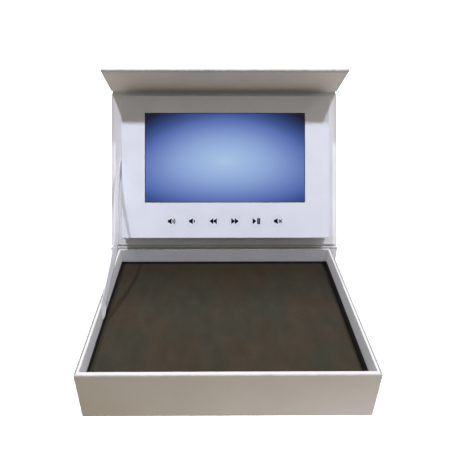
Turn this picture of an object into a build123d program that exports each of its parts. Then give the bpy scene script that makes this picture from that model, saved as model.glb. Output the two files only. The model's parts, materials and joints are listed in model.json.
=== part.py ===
from build123d import *
from math import cos, radians, sin
import os

os.makedirs("parts", exist_ok=True)

# A rigid card presentation box with a 7-inch screen in its lid: a tray with a dark pad, a spine board
# behind it, a lid that leans back on a paper hinge, a magnet flap folded forward over it, and a raised
# block inside the lid that holds the screen, its electronics and six buttons.
# Millimetres, +Z up, X across the box, the front faces -Y. The origin is the middle of the tray's underside.

# Tray, outside sizes, in wrapped card
tray_width = 211.0
tray_depth = 148.5
tray_height = 43.0
tray_wall = 3.1
tray_floor = 2.5
tray_corner_radius = 0.8
rim_outer_radius = 0.9
rim_inner_radius = 0.4

# Dark pad that fills the tray; it sits nearer the left wall
pad_top = 26.9
pad_gap_left = 1.2
pad_gap_right = 3.0
pad_gap_front = 0.8
pad_gap_back = 0.5
pad_corner_radius = 1.2
pad_edge_radius = 1.0

# Case boards: spine, lid and flap are one width, hinged by their wrapping paper
case_width = 224.0
board = 2.5
board_edge_radius = 0.5
spine_thickness = 2.1
spine_top_gap = 0.6
hinge_behind_tray = 2.4
hinge_above_rim = 0.6
fold_set_back = 1.3
lid_length = 153.6
lid_lean = 27.6
flap_length = 42.4
flap_bend = 77.4
paper = 0.35
lining = 0.3
lining_inset = 2.5
hinge_tab = 14.0

# Screen block inside the lid: its footprint on the lid, and its layers measured from the lid's inner face
block_width = 200.8
block_middle_x = 0.8
block_bottom = 9.4
block_top = 146.8
block_height = 12.5
block_corner_radius = 1.0
face_thickness = 1.5
face_edge_radius = 0.6
back_card_thickness = 0.8

# Screen module: a 7-inch panel with a 154.08 x 85.92 picture
picture_width = 154.08
picture_height = 85.92
screen_middle_x = 0.4
picture_bottom = 44.2
window_margin = 0.5
glass_width = 159.0
glass_height = 91.0
glass_thickness = 1.4
module_width = 165.0
module_height = 100.0
module_thickness = 5.0
module_below_picture = 8.8
module_corner_radius = 1.2
module_clearance = 0.4
ledge = 6.5

# Buttons in a row under the screen
button_names = ("volume_up", "volume_down", "rewind", "forward", "play_pause", "mute")
button_pitch = 20.5
button_row_middle_x = -0.5
button_row_height = 25.8
button_radius = 5.2
button_clearance = 0.1
button_stem_radius = 1.7
stem_clearance = 0.08
stem_end_height = 9.0
switch_size = 6.0
switch_height = 3.4
switch_well = 1.4
button_board_width = 128.0
button_board_depth = 12.0
button_board_height = 5.2
button_board_corner_radius = 1.0
pcb = 1.0
button_cavity_clearance = 0.6
key_ledge = 2.0

# Flat cables: one from the screen to the main board, one from the buttons to the main board
flex = 0.3
display_flex_left = 62.0
display_flex_right = 75.0
display_flex_length = 16.0
button_flex_left = 59.0
button_flex_right = 64.8
button_flex_step = 3.2
button_flex_step_length = 3.0
button_flex_landing = 3.0
flex_channel_clearance = 0.8

# Main circuit board, under the right end of the screen, with its charging socket in the block's side
main_left = 58.0
main_right = 98.6
main_bottom = 48.0
main_top = 103.0
main_height = 1.9
main_clearance = 0.4
chips = ((80.0, 88.0, 12.0, 12.0), (66.5, 90.0, 8.0, 11.0), (83.0, 62.0, 6.0, 8.0))
chip_thickness = 1.2
flex_connector = (68.5, 57.0, 14.0, 4.0)
sensor = (95.6, 58.0, 3.0, 4.0)
sensor_thickness = 1.1
sensor_chamfer = 0.28
socket_position = 75.0
socket_width = 7.5
socket_thickness = 2.6
socket_tongue_width = 4.3
socket_depth = 5.4
socket_wall = 0.3
socket_tongue = 0.7
socket_chamfer = 0.7
socket_recess = 0.2
socket_clearance = 0.15

# Battery and speaker
battery_width = 90.0
battery_length = 60.0
battery_thickness = 4.0
battery_middle_x = -24.0
battery_middle_s = 84.0
battery_corner_radius = 3.0
battery_shoulder = 1.2
cell_board_length = 5.0
cell_board_width = 42.0
cell_board_thickness = 1.6
speaker_length = 30.0
speaker_width = 20.0
speaker_middle_x = 81.0
speaker_middle_s = 21.9
speaker_thickness = 4.6
basket_thickness = 2.4
cone_inset = 1.5
cone_depth = 1.6
can_radius = 7.0
speaker_clearance = 0.4

# Magnets: two in the flap, two steel plates behind the tray's front paper, one to wake the screen
magnet_radius = 6.0
magnet_thickness = 1.6
magnet_spacing = 140.0
magnet_from_fold = 21.5
plate_thickness = 1.0
plate_cover = 0.8
trigger_radius = 2.5
trigger_thickness = 2.0
trigger_cover = 0.6
trigger_position = (18.6, 37.5)

# Ribbon stay on the left: from the tray's inner wall up to the side of the screen block
ribbon_width = 13.0
ribbon_thickness = 0.4
ribbon_wall_y = -3.2
ribbon_wall_bottom = 28.0
ribbon_wall_top = 40.0
ribbon_lid_s = 84.0
ribbon_lid_height = 6.5
ribbon_wall_gap = 0.15

# Frames of the moving boards. On the lid's plane x runs across, y from the hinge to the fold, z inwards.
hinge = (0, tray_depth / 2 + hinge_behind_tray, tray_height + hinge_above_rim)
lean = radians(lid_lean)
lid_up = (0, sin(lean), cos(lean))
lid_inward = (0, -cos(lean), sin(lean))
lid_plane = Plane(origin=hinge, x_dir=(1, 0, 0), z_dir=lid_inward)
lid_side = Plane(origin=hinge, x_dir=lid_up, z_dir=(1, 0, 0))
inward_axis = Axis(hinge, lid_inward)
flap_angle = radians(180 - lid_lean + flap_bend)
flap_inward = (0, cos(flap_angle), sin(flap_angle))
fold = lid_plane.from_local_coords((0, lid_length, 0))
flap_plane = Plane(origin=fold, x_dir=(1, 0, 0), z_dir=flap_inward)

spine_back = tray_depth / 2 + spine_thickness
spine_height = hinge[2] - spine_top_gap
frame_bottom = lining + back_card_thickness
frame_top = block_height - face_thickness
block_middle_s = (block_bottom + block_top) / 2
block_length = block_top - block_bottom
block_left = block_middle_x - block_width / 2
block_right = block_middle_x + block_width / 2
picture_middle_s = picture_bottom + picture_height / 2
window_width = picture_width + 2 * window_margin
window_height = picture_height + 2 * window_margin
module_bottom = picture_bottom - module_below_picture
module_middle_s = module_bottom + module_height / 2
module_back = frame_top - module_thickness
button_xs = [button_row_middle_x + (i - 2.5) * button_pitch for i in range(6)]
button_points = [(x, button_row_height) for x in button_xs]
switch_bottom = button_board_height + pcb


def lid_rectangle(left, right, bottom, top):
    """A rectangle on a sketch of the lid's plane, between two x and two heights above the hinge."""
    with Locations(((left + right) / 2, (bottom + top) / 2)):
        return Rectangle(right - left, top - bottom)


# ---------------------------------------------------------------- tray
with BuildPart() as tray:
    with BuildSketch(Plane.XY):
        RectangleRounded(tray_width, tray_depth, tray_corner_radius)
    extrude(amount=tray_height)
    fillet(tray.faces().sort_by(Axis.Z)[-1].edges(), rim_outer_radius)
    with BuildSketch(Plane.XY.offset(tray_floor)):
        Rectangle(tray_width - 2 * tray_wall, tray_depth - 2 * tray_wall)
    extrude(amount=tray_height, mode=Mode.SUBTRACT)
    fillet(tray.faces().sort_by(Axis.Z)[-1].inner_wires()[0].edges(), rim_inner_radius)
    # closed pockets in the card: two steel plates in the front wall, the trigger magnet in the right one
    with BuildSketch(Plane.XZ.offset(tray_depth / 2 - plate_cover)):
        with Locations((0, hinge[2] - magnet_from_fold)):
            with GridLocations(magnet_spacing, 0, 2, 1):
                Circle(magnet_radius)
    extrude(amount=-plate_thickness, mode=Mode.SUBTRACT)
    with BuildSketch(Plane.YZ.offset(tray_width / 2 - trigger_cover)):
        with Locations(trigger_position):
            Circle(trigger_radius)
    extrude(amount=-trigger_thickness, mode=Mode.SUBTRACT)
tray.part.label = "tray"
export_step(tray.part, "parts/tray.step")

with BuildPart() as catch_plates:
    with BuildSketch(Plane.XZ.offset(tray_depth / 2 - plate_cover)):
        with Locations((0, hinge[2] - magnet_from_fold)):
            with GridLocations(magnet_spacing, 0, 2, 1):
                Circle(magnet_radius)
    extrude(amount=-plate_thickness)
catch_plates.part.label = "catch_plates"
export_step(catch_plates.part, "parts/catch_plates.step")

with BuildPart() as trigger_magnet:
    with BuildSketch(Plane.YZ.offset(tray_width / 2 - trigger_cover)):
        with Locations(trigger_position):
            Circle(trigger_radius)
    extrude(amount=-trigger_thickness)
trigger_magnet.part.label = "trigger_magnet"
export_step(trigger_magnet.part, "parts/trigger_magnet.step")

# Pad: foam under a dark flocked cloth, cut to drop into the tray
pad_width = tray_width - 2 * tray_wall - pad_gap_left - pad_gap_right
pad_depth = tray_depth - 2 * tray_wall - pad_gap_front - pad_gap_back
with BuildPart() as insert_pad:
    with BuildSketch(Plane.XY.offset(tray_floor)):
        with Locations(((pad_gap_left - pad_gap_right) / 2, (pad_gap_front - pad_gap_back) / 2)):
            RectangleRounded(pad_width, pad_depth, pad_corner_radius)
    extrude(amount=pad_top - tray_floor)
    fillet(insert_pad.faces().sort_by(Axis.Z)[-1].edges(), pad_edge_radius)
insert_pad.part.label = "insert_pad"
export_step(insert_pad.part, "parts/insert_pad.step")

# ---------------------------------------------------------------- case boards
with BuildPart() as spine_board:
    with BuildSketch(Plane.XZ.offset(-tray_depth / 2)):
        with Locations((0, spine_height / 2)):
            Rectangle(case_width, spine_height)
    extrude(amount=-spine_thickness)
    fillet(spine_board.faces().sort_by(Axis.Y)[-1].edges(), board_edge_radius)
spine_board.part.label = "spine_board"
export_step(spine_board.part, "parts/spine_board.step")

with BuildPart() as lid_board:
    with BuildSketch(lid_plane.offset(-board)):
        lid_rectangle(-case_width / 2, case_width / 2, fold_set_back, lid_length - fold_set_back)
    extrude(amount=board)
    fillet(lid_board.edges(), board_edge_radius)
lid_board.part.label = "lid_board"
export_step(lid_board.part, "parts/lid_board.step")

lining_side = case_width / 2 - lining_inset
with BuildPart() as lid_lining:
    with BuildSketch(lid_plane):
        lid_rectangle(-lining_side, lining_side, fold_set_back + board_edge_radius,
                      lid_length - fold_set_back - board_edge_radius)
    extrude(amount=lining)
lid_lining.part.label = "lid_lining"
export_step(lid_lining.part, "parts/lid_lining.step")

with BuildPart() as flap_board:
    with BuildSketch(flap_plane.offset(-board)):
        lid_rectangle(-case_width / 2, case_width / 2, fold_set_back, flap_length)
    extrude(amount=board)
    fillet(flap_board.edges(), board_edge_radius)
    with BuildSketch(flap_plane):
        with Locations((0, magnet_from_fold)):
            with GridLocations(magnet_spacing, 0, 2, 1):
                Circle(magnet_radius)
    extrude(amount=-magnet_thickness, mode=Mode.SUBTRACT)
flap_board.part.label = "flap_board"
export_step(flap_board.part, "parts/flap_board.step")

with BuildPart() as flap_magnets:
    with BuildSketch(flap_plane):
        with Locations((0, magnet_from_fold)):
            with GridLocations(magnet_spacing, 0, 2, 1):
                Circle(magnet_radius)
    extrude(amount=-magnet_thickness)
flap_magnets.part.label = "flap_magnets"
export_step(flap_magnets.part, "parts/flap_magnets.step")

with BuildPart() as flap_lining:
    with BuildSketch(flap_plane):
        lid_rectangle(-lining_side, lining_side, fold_set_back + board_edge_radius,
                      flap_length - lining_inset)
    extrude(amount=lining)
flap_lining.part.label = "flap_lining"
export_step(flap_lining.part, "parts/flap_lining.step")


def paper_strip(points, thickness):
    """The outline of a bent paper strip whose inner side runs through the points."""
    inner = Polyline(*points)
    return offset(inner, amount=thickness, side=Side.RIGHT, closed=True)


def lid_outer(s):
    """A point of the lid's outer face on the YZ plane, at height s above the hinge."""
    at = lid_plane.from_local_coords((0, s, -board))
    return (at.Y, at.Z)


def flap_outer(t):
    """A point of the flap's outer face on the YZ plane, at distance t from the fold."""
    at = flap_plane.from_local_coords((0, t, -board))
    return (at.Y, at.Z)


# The wrap where it bridges two boards: glued to both outer faces and free in the fold between them
lid_hinge_outline = paper_strip(
    [
        (spine_back, spine_height - hinge_tab),
        (spine_back, hinge[2] - board_edge_radius),
        lid_outer(fold_set_back),
        lid_outer(hinge_tab),
    ],
    paper,
)
with BuildPart() as lid_hinge_paper:
    with BuildSketch(Plane.YZ.offset(-case_width / 2)):
        with BuildLine():
            add(lid_hinge_outline)
        make_face()
    extrude(amount=case_width)
lid_hinge_paper.part.label = "lid_hinge_paper"
export_step(lid_hinge_paper.part, "parts/lid_hinge_paper.step")

flap_hinge_outline = paper_strip(
    [
        lid_outer(lid_length - hinge_tab),
        lid_outer(lid_length - fold_set_back / 2),
        flap_outer(fold_set_back / 2),
        flap_outer(hinge_tab),
    ],
    paper,
)
with BuildPart() as flap_hinge_paper:
    with BuildSketch(Plane.YZ.offset(-case_width / 2)):
        with BuildLine():
            add(flap_hinge_outline)
        make_face()
    extrude(amount=case_width)
flap_hinge_paper.part.label = "flap_hinge_paper"
export_step(flap_hinge_paper.part, "parts/flap_hinge_paper.step")

# ---------------------------------------------------------------- screen block
with BuildPart() as back_card:
    with BuildSketch(lid_plane.offset(lining)):
        with Locations((block_middle_x, block_middle_s)):
            RectangleRounded(block_width, block_length, block_corner_radius)
    extrude(amount=back_card_thickness)
back_card.part.label = "back_card"
export_step(back_card.part, "parts/back_card.step")

module_left = screen_middle_x - module_width / 2 - module_clearance
module_right = screen_middle_x + module_width / 2 + module_clearance
cavity_bottom = module_bottom - module_clearance
cavity_top = module_bottom + module_height + module_clearance
keys_left = button_row_middle_x - button_board_width / 2 - button_cavity_clearance
keys_right = button_row_middle_x + button_board_width / 2 + button_cavity_clearance
keys_bottom = button_row_height - button_board_depth / 2 - button_cavity_clearance
keys_top = button_row_height + button_board_depth / 2 + button_cavity_clearance
socket_bottom = main_height + pcb
keys_floor = keys_bottom + key_ledge

# Frame of stiff foam that gives the block its sides, cut out for the screen, boards, battery and speaker
with BuildPart() as block_frame:
    with BuildSketch(lid_plane.offset(frame_bottom)):
        with Locations((block_middle_x, block_middle_s)):
            RectangleRounded(block_width, block_length, block_corner_radius)
    extrude(amount=frame_top - frame_bottom)
    # pocket of the screen module, and the deeper room behind it inside a ledge
    with BuildSketch(lid_plane.offset(module_back)):
        lid_rectangle(module_left, module_right, cavity_bottom, cavity_top)
    extrude(amount=module_thickness, mode=Mode.SUBTRACT)
    with BuildSketch(lid_plane.offset(frame_bottom)):
        lid_rectangle(module_left + ledge, module_right - ledge, cavity_bottom + ledge, cavity_top - ledge)
        lid_rectangle(main_left, main_right + main_clearance, main_bottom - main_clearance,
                      main_top + main_clearance)
        lid_rectangle(keys_left + key_ledge, keys_right - key_ledge, keys_floor, keys_top - key_ledge)
        lid_rectangle(button_flex_left - flex_channel_clearance, button_flex_right + flex_channel_clearance,
                      keys_floor, main_bottom)
    extrude(amount=module_back - frame_bottom, mode=Mode.SUBTRACT)
    # pocket of the button board, then the speaker's
    with BuildSketch(lid_plane.offset(button_board_height)):
        lid_rectangle(keys_left, keys_right, keys_bottom, keys_top)
    extrude(amount=frame_top - button_board_height, mode=Mode.SUBTRACT)
    with BuildSketch(lid_plane.offset(frame_top - speaker_thickness)):
        with Locations((speaker_middle_x, speaker_middle_s)):
            SlotOverall(speaker_length + 2 * speaker_clearance, speaker_width + 2 * speaker_clearance)
    extrude(amount=speaker_thickness, mode=Mode.SUBTRACT)
    # slot in the right side for the charging socket
    with BuildSketch(lid_side.offset(main_right)):
        with Locations((socket_position, socket_bottom + socket_thickness / 2)):
            Rectangle(socket_width + 2 * socket_clearance, socket_thickness + 2 * socket_clearance)
    extrude(amount=block_right - main_right, mode=Mode.SUBTRACT)
block_frame.part.label = "block_frame"
export_step(block_frame.part, "parts/block_frame.step")

# Face board, wrapped in printed paper, with the window and the six button holes
with BuildPart() as face_panel:
    with BuildSketch(lid_plane.offset(frame_top)):
        with Locations((block_middle_x, block_middle_s)):
            RectangleRounded(block_width, block_length, block_corner_radius)
        with Locations((screen_middle_x, picture_middle_s)):
            Rectangle(window_width, window_height, mode=Mode.SUBTRACT)
        with Locations(*button_points):
            Circle(button_radius + button_clearance, mode=Mode.SUBTRACT)
    extrude(amount=face_thickness)
    front_face = face_panel.faces().sort_by(inward_axis)[-1]
    fillet(front_face.outer_wire().edges(), face_edge_radius)
face_panel.part.label = "face_panel"
export_step(face_panel.part, "parts/face_panel.step")

# Screen module: pressed metal frame with the backlight, and the glass let into it
with BuildPart() as screen_frame:
    with BuildSketch(lid_plane.offset(module_back)):
        with Locations((screen_middle_x, module_middle_s)):
            RectangleRounded(module_width, module_height, module_corner_radius)
    extrude(amount=module_thickness)
    with BuildSketch(lid_plane.offset(frame_top - glass_thickness)):
        with Locations((screen_middle_x, picture_middle_s)):
            Rectangle(glass_width, glass_height)
    extrude(amount=glass_thickness, mode=Mode.SUBTRACT)
screen_frame.part.label = "screen_frame"
export_step(screen_frame.part, "parts/screen_frame.step")

with BuildPart() as screen_glass:
    with BuildSketch(lid_plane.offset(frame_top - glass_thickness)):
        with Locations((screen_middle_x, picture_middle_s)):
            Rectangle(glass_width, glass_height)
    extrude(amount=glass_thickness)
screen_glass.part.label = "screen_glass"
export_step(screen_glass.part, "parts/screen_glass.step")

# Main board: its chips and connectors are soldered down, so they are one solid with it
with BuildPart() as main_board:
    with BuildSketch(lid_plane.offset(main_height)):
        lid_rectangle(main_left + main_clearance, main_right, main_bottom, main_top)
    extrude(amount=pcb)
    with BuildSketch(lid_plane.offset(main_height + pcb)):
        for x, s, across, along in chips:
            with Locations((x, s)):
                Rectangle(across, along)
    extrude(amount=chip_thickness)
    with BuildSketch(lid_plane.offset(main_height + pcb)):
        with Locations(flex_connector[:2]):
            Rectangle(*flex_connector[2:])
    extrude(amount=module_back - flex - main_height - pcb)
main_board.part.label = "main_board"
export_step(main_board.part, "parts/main_board.step")

with BuildPart() as hall_sensor:
    with BuildSketch(lid_plane.offset(main_height + pcb)):
        with Locations(sensor[:2]):
            Rectangle(*sensor[2:])
    extrude(amount=sensor_thickness)
    chamfer(hall_sensor.faces().sort_by(inward_axis)[-1].edges(), sensor_chamfer)
hall_sensor.part.label = "hall_sensor"
export_step(hall_sensor.part, "parts/hall_sensor.step")

# Charging socket: a bent steel shell with a mouth to the right and the contact tongue inside
socket_mouth = lid_side.offset(block_right - socket_recess)
with BuildPart() as charging_socket:
    with BuildSketch(socket_mouth) as shell_outline:
        with Locations((socket_position, socket_bottom + socket_thickness / 2)):
            Rectangle(socket_width, socket_thickness)
        chamfer(shell_outline.vertices().group_by(Axis.Y)[-1], socket_chamfer)
    extrude(amount=-socket_depth)
    with BuildSketch(socket_mouth) as mouth_outline:
        with Locations((socket_position, socket_bottom + socket_thickness / 2)):
            Rectangle(socket_width - 2 * socket_wall, socket_thickness - 2 * socket_wall)
        chamfer(mouth_outline.vertices().group_by(Axis.Y)[-1], socket_chamfer - socket_wall / 3)
        with Locations((socket_position, socket_bottom + socket_thickness / 2)):
            Rectangle(socket_tongue_width, socket_tongue, mode=Mode.SUBTRACT)
    extrude(amount=socket_wall - socket_depth, mode=Mode.SUBTRACT)
charging_socket.part.label = "charging_socket"
export_step(charging_socket.part, "parts/charging_socket.step")

# Pouch cell: rounded corners, sloping shoulders and the sealed strip with its protection board at the right
with BuildPart() as battery:
    with BuildSketch(lid_plane.offset(frame_bottom)):
        with Locations((battery_middle_x, battery_middle_s)):
            RectangleRounded(battery_width, battery_length, battery_corner_radius)
    extrude(amount=battery_thickness)
    chamfer(battery.faces().sort_by(inward_axis)[-1].edges(), battery_shoulder)
    with BuildSketch(lid_plane.offset(frame_bottom)):
        with Locations((battery_middle_x + battery_width / 2, battery_middle_s)):
            Rectangle(2 * cell_board_length, cell_board_width)
    extrude(amount=cell_board_thickness)
battery.part.label = "battery"
export_step(battery.part, "parts/battery.step")

# Speaker: an oval basket with its cone dished in and the magnet can behind
with BuildPart() as speaker:
    with BuildSketch(lid_plane.offset(frame_top - basket_thickness)):
        with Locations((speaker_middle_x, speaker_middle_s)):
            SlotOverall(speaker_length, speaker_width)
    extrude(amount=basket_thickness)
    with BuildSketch(lid_plane.offset(frame_top)):
        with Locations((speaker_middle_x, speaker_middle_s)):
            SlotOverall(speaker_length - 2 * cone_inset, speaker_width - 2 * cone_inset)
    extrude(amount=-cone_depth, taper=45, mode=Mode.SUBTRACT)
    with BuildSketch(lid_plane.offset(frame_top - speaker_thickness)):
        with Locations((speaker_middle_x, speaker_middle_s)):
            Circle(can_radius)
    extrude(amount=speaker_thickness - basket_thickness)
speaker.part.label = "speaker"
export_step(speaker.part, "parts/speaker.step")

# ---------------------------------------------------------------- buttons
with BuildPart() as button_board:
    with BuildSketch(lid_plane.offset(button_board_height)):
        with Locations((button_row_middle_x, button_row_height)):
            RectangleRounded(button_board_width, button_board_depth, button_board_corner_radius)
    extrude(amount=pcb)
button_board.part.label = "button_board"
export_step(button_board.part, "parts/button_board.step")

with BuildPart() as tact_switches:
    with BuildSketch(lid_plane.offset(switch_bottom)):
        with Locations(*button_points):
            Rectangle(switch_size, switch_size)
    extrude(amount=switch_height)
    with BuildSketch(lid_plane.offset(switch_bottom + switch_height)):
        with Locations(*button_points):
            Circle(button_stem_radius + stem_clearance)
    extrude(amount=-switch_well, mode=Mode.SUBTRACT)
tact_switches.part.label = "tact_switches"
export_step(tact_switches.part, "parts/tact_switches.step")

for name, x in zip(button_names, button_xs):
    with BuildPart() as button:
        with BuildSketch(lid_plane.offset(frame_top)):
            with Locations((x, button_row_height)):
                Circle(button_radius)
        extrude(amount=face_thickness)
        with BuildSketch(lid_plane.offset(stem_end_height)):
            with Locations((x, button_row_height)):
                Circle(button_stem_radius)
        extrude(amount=frame_top - stem_end_height)
    button.part.label = f"button_{name}"
    export_step(button.part, f"parts/button_{name}.step")

# ---------------------------------------------------------------- flat cables
with BuildPart() as display_flex:
    with BuildSketch(lid_plane.offset(module_back - flex)):
        lid_rectangle(display_flex_left, display_flex_right, main_bottom, main_bottom + display_flex_length)
    extrude(amount=flex)
display_flex.part.label = "display_flex"
export_step(display_flex.part, "parts/display_flex.step")

# From under the button board it steps down and lies on the main board
step_start = button_row_height + button_flex_step
step_end = step_start + button_flex_step_length
flex_end = main_bottom + button_flex_landing
with BuildPart() as button_flex:
    with BuildSketch(lid_side.offset(button_flex_left)):
        with BuildLine():
            Polyline(
                (button_row_height, button_board_height),
                (step_start + flex / 2, button_board_height),
                (step_end + flex / 2, socket_bottom + flex),
                (flex_end, socket_bottom + flex),
                (flex_end, socket_bottom),
                (step_end, socket_bottom),
                (step_start, button_board_height - flex),
                (button_row_height, button_board_height - flex),
                close=True,
            )
        make_face()
    extrude(amount=button_flex_right - button_flex_left)
button_flex.part.label = "button_flex"
export_step(button_flex.part, "parts/button_flex.step")

# ---------------------------------------------------------------- ribbon stay
# A flat satin ribbon in a plane that leans from the tray's left wall to the side of the block
ribbon_foot = Vector(-tray_width / 2 + tray_wall + ribbon_wall_gap, ribbon_wall_y, ribbon_wall_top)
ribbon_head = lid_plane.from_local_coords((block_left - ribbon_wall_gap - ribbon_thickness, ribbon_lid_s,
                                           ribbon_lid_height))
ribbon_run = ribbon_head - ribbon_foot
ribbon_level = Vector(ribbon_run.X, ribbon_run.Y, 0).normalized()
ribbon_plane = Plane(origin=ribbon_foot, x_dir=ribbon_level, z_dir=Vector(ribbon_level.Y, -ribbon_level.X, 0))
ribbon_along = Vector(ribbon_plane.to_local_coords(ribbon_head).X, ribbon_run.Z)
ribbon_side = Vector(-ribbon_along.Y, ribbon_along.X).normalized() * (ribbon_width / 2)
with BuildPart() as ribbon:
    with BuildSketch(ribbon_plane):
        with BuildLine():
            Polyline(
                (-ribbon_width / 2, ribbon_wall_bottom - ribbon_wall_top),
                (ribbon_width / 2, ribbon_wall_bottom - ribbon_wall_top),
                (ribbon_width / 2, 0),
                (ribbon_along.X - ribbon_side.X, ribbon_along.Y - ribbon_side.Y),
                (ribbon_along.X + ribbon_side.X, ribbon_along.Y + ribbon_side.Y),
                (-ribbon_width / 2, 0),
                close=True,
            )
        make_face()
    extrude(amount=ribbon_thickness)
ribbon.part.label = "ribbon"
export_step(ribbon.part, "parts/ribbon.step")
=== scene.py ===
"""Video presentation box: wrapped card, hinge papers, flocked pad, lit screen, printed signs, ribbon and stage."""

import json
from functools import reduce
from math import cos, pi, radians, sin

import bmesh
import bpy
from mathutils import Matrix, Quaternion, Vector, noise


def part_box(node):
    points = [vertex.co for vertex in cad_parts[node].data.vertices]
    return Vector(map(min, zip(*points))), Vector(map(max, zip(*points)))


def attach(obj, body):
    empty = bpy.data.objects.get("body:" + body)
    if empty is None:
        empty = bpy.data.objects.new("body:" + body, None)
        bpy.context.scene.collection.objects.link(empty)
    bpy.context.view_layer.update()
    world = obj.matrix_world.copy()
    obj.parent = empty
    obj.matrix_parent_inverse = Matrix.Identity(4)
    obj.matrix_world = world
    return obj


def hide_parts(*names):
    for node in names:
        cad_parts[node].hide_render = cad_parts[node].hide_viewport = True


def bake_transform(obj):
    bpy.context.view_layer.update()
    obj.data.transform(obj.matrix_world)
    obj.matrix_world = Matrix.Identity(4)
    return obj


bl_info = {
    "name": "Video presentation box",
    "version": (1, 0, 0),
    "blender": (4, 5, 0),
    "location": "View3D > Sidebar > Video Box",
    "description": "Papers, pad, screen, signs, ribbon and stage of a card box with a screen in its lid",
    "category": "Object",
}

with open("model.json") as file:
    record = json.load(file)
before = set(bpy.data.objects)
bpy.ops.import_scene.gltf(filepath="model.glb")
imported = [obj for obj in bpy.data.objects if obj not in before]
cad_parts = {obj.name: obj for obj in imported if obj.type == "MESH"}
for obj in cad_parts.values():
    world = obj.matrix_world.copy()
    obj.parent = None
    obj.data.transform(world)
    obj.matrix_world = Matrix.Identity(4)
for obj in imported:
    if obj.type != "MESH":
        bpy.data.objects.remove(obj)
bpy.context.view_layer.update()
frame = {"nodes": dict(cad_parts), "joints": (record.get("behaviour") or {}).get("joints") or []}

MM = 0.001
CLEAR = 1 * MM  # how far a zone of colour reaches past the surface that it is for
OVERHANG = 9 * MM  # more than the lid and the spine reach past the tray
NODES = frame["nodes"]
JOINTS = {joint["name"]: joint for joint in frame["joints"]}
HINGE = Vector(JOINTS["lid_hinge"]["pos_m"])
FOLD = Vector(JOINTS["flap_fold"]["pos_m"])
LEAN = radians(JOINTS["lid_hinge"]["range_deg"][1] - 90)
BEND = radians(-JOINTS["flap_fold"]["range_deg"][0])


def board_frame(origin, lean):
    """The frame of a leaning board: x across it, y up it and z off its inner face."""
    up = Vector((0, sin(lean), cos(lean)))
    inward = Vector((0, -cos(lean), sin(lean)))
    turn = Matrix((Vector((1, 0, 0)), up, inward)).transposed().to_4x4()
    return Matrix.Translation(origin) @ turn


LID = board_frame(HINGE, LEAN)
FLAP = board_frame(FOLD, LEAN - BEND)


def measure(node, board=LID):
    """A node's lowest and highest corners in a board's frame."""
    back = board.inverted()
    points = [back @ vertex.co for vertex in NODES[node].data.vertices]
    return Vector(tuple(map(min, zip(*points)))), Vector(tuple(map(max, zip(*points))))


# ------------------------------------------------------------------ settings


class VideoBoxCard(bpy.types.PropertyGroup):
    """Papers and boards."""

    wrap: bpy.props.FloatVectorProperty(
        name="Wrap", description="Colour of the white paper that wraps the boards", size=3,
        subtype="COLOR", default=(0.80, 0.79, 0.775), min=0, max=1)
    lining: bpy.props.FloatVectorProperty(
        name="Lining", description="Colour of the paper inside the lid", size=3,
        subtype="COLOR", default=(0.90, 0.895, 0.91), min=0, max=1)
    flap_lining: bpy.props.FloatVectorProperty(
        name="Flap lining", description="Colour of the paper inside the flap", size=3,
        subtype="COLOR", default=(0.80, 0.785, 0.75), min=0, max=1)
    face: bpy.props.FloatVectorProperty(
        name="Block face", description="Colour of the paper round the screen", size=3,
        subtype="COLOR", default=(0.775, 0.796, 0.862), min=0, max=1)
    # Painted light: the turned-in paper is lighter and bluer than the wrap, standing in for the light on the tray's
    # inner walls.
    turned_in_painted_light: bpy.props.FloatVectorProperty(
        name="Turned in", description="Colour of the paper turned in over the tray's front and back walls", size=3,
        subtype="COLOR", default=(0.88, 0.885, 0.93), min=0, max=1)
    # Painted shade: this dark colour is laid on the back rim under the lid's block, the spine's top, the hinge paper's
    # crease and the side walls' outer rim edges.
    wear_and_painted_shade: bpy.props.FloatVectorProperty(
        name="Worn edge", description="Colour of the upper edges that lid and hands brush past", size=3,
        subtype="COLOR", default=(0.42, 0.42, 0.42), min=0, max=1)
    # Painted shade: the rim tops are darker than the wrap because the light falls strongest on them.
    rim: bpy.props.FloatVectorProperty(
        name="Rim", description="Colour of the wrap on top of the tray's walls, where the lid rests", size=3,
        subtype="COLOR", default=(0.61, 0.59, 0.55), min=0, max=1)
    # Painted light: lighter than the wrap, standing in for light on the shaded spine ends and the lid's lower edge.
    spine_ends_painted_light: bpy.props.FloatVectorProperty(
        name="Spine ends", description="Colour of the spine's ends past the tray, and of the lid's edge above", size=3,
        subtype="COLOR", default=(0.96, 0.95, 0.94), min=0, max=1)
    # Painted shade: near black below the turn-in, standing in for the shade in the gap between the pad and the walls.
    inside: bpy.props.FloatVectorProperty(
        name="Inside", description="Colour of the tray's walls and floor below the turned-in wrap", size=3,
        subtype="COLOR", default=(0.036, 0.033, 0.029), min=0, max=1)
    wrap_thickness: bpy.props.FloatProperty(
        name="Wrap thickness", description="Thickness of a wrapping paper", unit="LENGTH", default=0.1 * MM)
    skin_thickness: bpy.props.FloatProperty(
        name="Hinge paper thickness", description="Thickness of the paper that joins two boards",
        unit="LENGTH", default=0.12 * MM)
    turn_in: bpy.props.FloatProperty(
        name="Turn-in", description="How far the tray's wrap runs down inside its walls", unit="LENGTH",
        default=14 * MM)
    corner_inset: bpy.props.FloatProperty(
        name="Seam inset", description="Distance of the side wraps' edges from the tray's corners",
        unit="LENGTH", default=0.9 * MM)
    crease: bpy.props.FloatProperty(
        name="Crease", description="Rounding of the paper at a fold", unit="LENGTH", default=0.5 * MM)


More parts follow.
